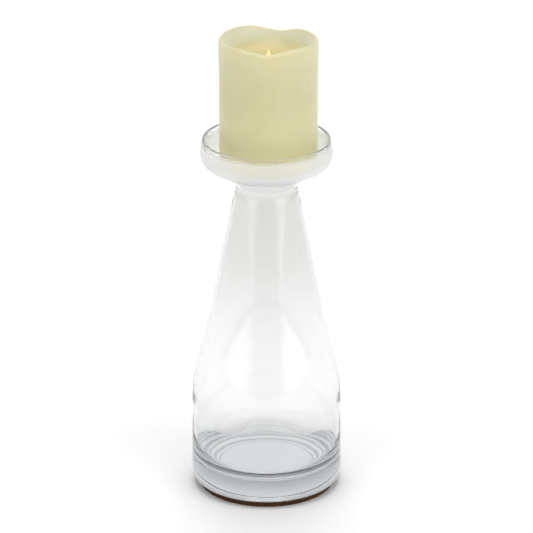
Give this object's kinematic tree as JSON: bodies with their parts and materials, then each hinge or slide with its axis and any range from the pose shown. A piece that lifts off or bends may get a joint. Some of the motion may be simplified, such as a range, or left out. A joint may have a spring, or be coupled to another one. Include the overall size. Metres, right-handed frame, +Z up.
{
  "type": "glass pillar candle holder with flameless candle",
  "caption": "Bottle-shaped clear glass pillar holder with a thick base, narrow neck and shallow cup, carrying an ivory flameless wax pillar candle.",
  "frame": {"origin": "centre of the base pad's underside, on the table", "axes": "+Z up along the glass vessel's axis, -Y towards the viewer, +X to the viewer's right"},
  "size_m": [0.119, 0.119, 0.374],
  "materials": {
    "clear_glass": "clear, fire-polished",
    "cork": "fine-grained pressed cork, matt",
    "adhesive_film": "white paper-backed adhesive film",
    "ivory_wax": "smooth wax, slight sheen",
    "flame_plastic": "frosted translucent, lit from inside",
    "led_epoxy": "diffused amber epoxy",
    "tinned_wire": "tinned",
    "black_abs": "fine moulded texture",
    "ivory_abs": "fine moulded texture",
    "door_abs": "fine moulded texture",
    "hot_melt": "translucent, uneven",
    "zinc_screw": "zinc plated",
    "cell_wrap": "glossy film wrap over a plated can",
    "nickel_contact": "nickel plated",
    "spring_steel": "nickel plated, drawn wire",
    "switch_can": "tin plated",
    "phenolic": "paper phenolic",
    "switch_brass": "plated",
    "switch_nylon": "fine moulded texture",
    "board_green": "solder mask",
    "chip_black": "moulded epoxy with tinned legs",
    "resistor_body": "lacquered, with bands",
    "capacitor_can": "sleeved can",
    "wire_red": "PVC insulation",
    "wire_black": "PVC insulation",
    "wire_white": "PVC insulation",
    "wire_yellow": "PVC insulation"
  },
  "bodies": {
    "holder": {"glass_vessel": "clear_glass", "base_pad": "cork", "pad_film": "adhesive_film"},
    "candle": {"wax_shell": "ivory_wax", "flame_tip": "flame_plastic", "led": "led_epoxy", "led_leads": "tinned_wire", "led_holder": "black_abs", "glue_ring": "hot_melt", "core_tube": "ivory_abs", "base_plate": "ivory_abs", "base_screws": "zinc_screw", "battery_box": "black_abs", "box_screws": "zinc_screw", "battery_1": "cell_wrap", "battery_2": "cell_wrap", "contact_positive": "nickel_contact", "contact_negative": "nickel_contact", "contact_spring": "spring_steel", "switch_frame": "switch_can", "switch_wafer": "phenolic", "switch_pins": "switch_brass", "circuit_board": "board_green", "timer_chip": "chip_black", "resistors": "resistor_body", "capacitor": "capacitor_can", "board_screws": "zinc_screw", "wire_positive": "wire_red", "wire_negative": "wire_black", "wire_switch_common": "wire_red", "wire_switch_on": "wire_white", "wire_switch_timer": "wire_yellow"},
    "battery_door": {"battery_door": "door_abs", "door_contact": "nickel_contact", "door_spring": "spring_steel"},
    "switch_knob": {"switch_knob": "switch_nylon", "switch_wiper": "switch_brass"}
  },
  "joints": [
    {"name": "candle_lift", "type": "slide", "parent": "holder", "child": "candle", "axis": [0, 0, 1], "range_m": [0, 0.06]},
    {"name": "battery_door_hinge", "type": "hinge", "parent": "candle", "child": "battery_door", "pos_m": [0.0015, 0.0086, 0.2722], "axis": [1, 0, 0], "range_deg": [0, 90]},
    {"name": "switch_slide", "type": "slide", "parent": "candle", "child": "switch_knob", "axis": [1, 0, 0], "range_m": [0, 0.004]}
  ]
}
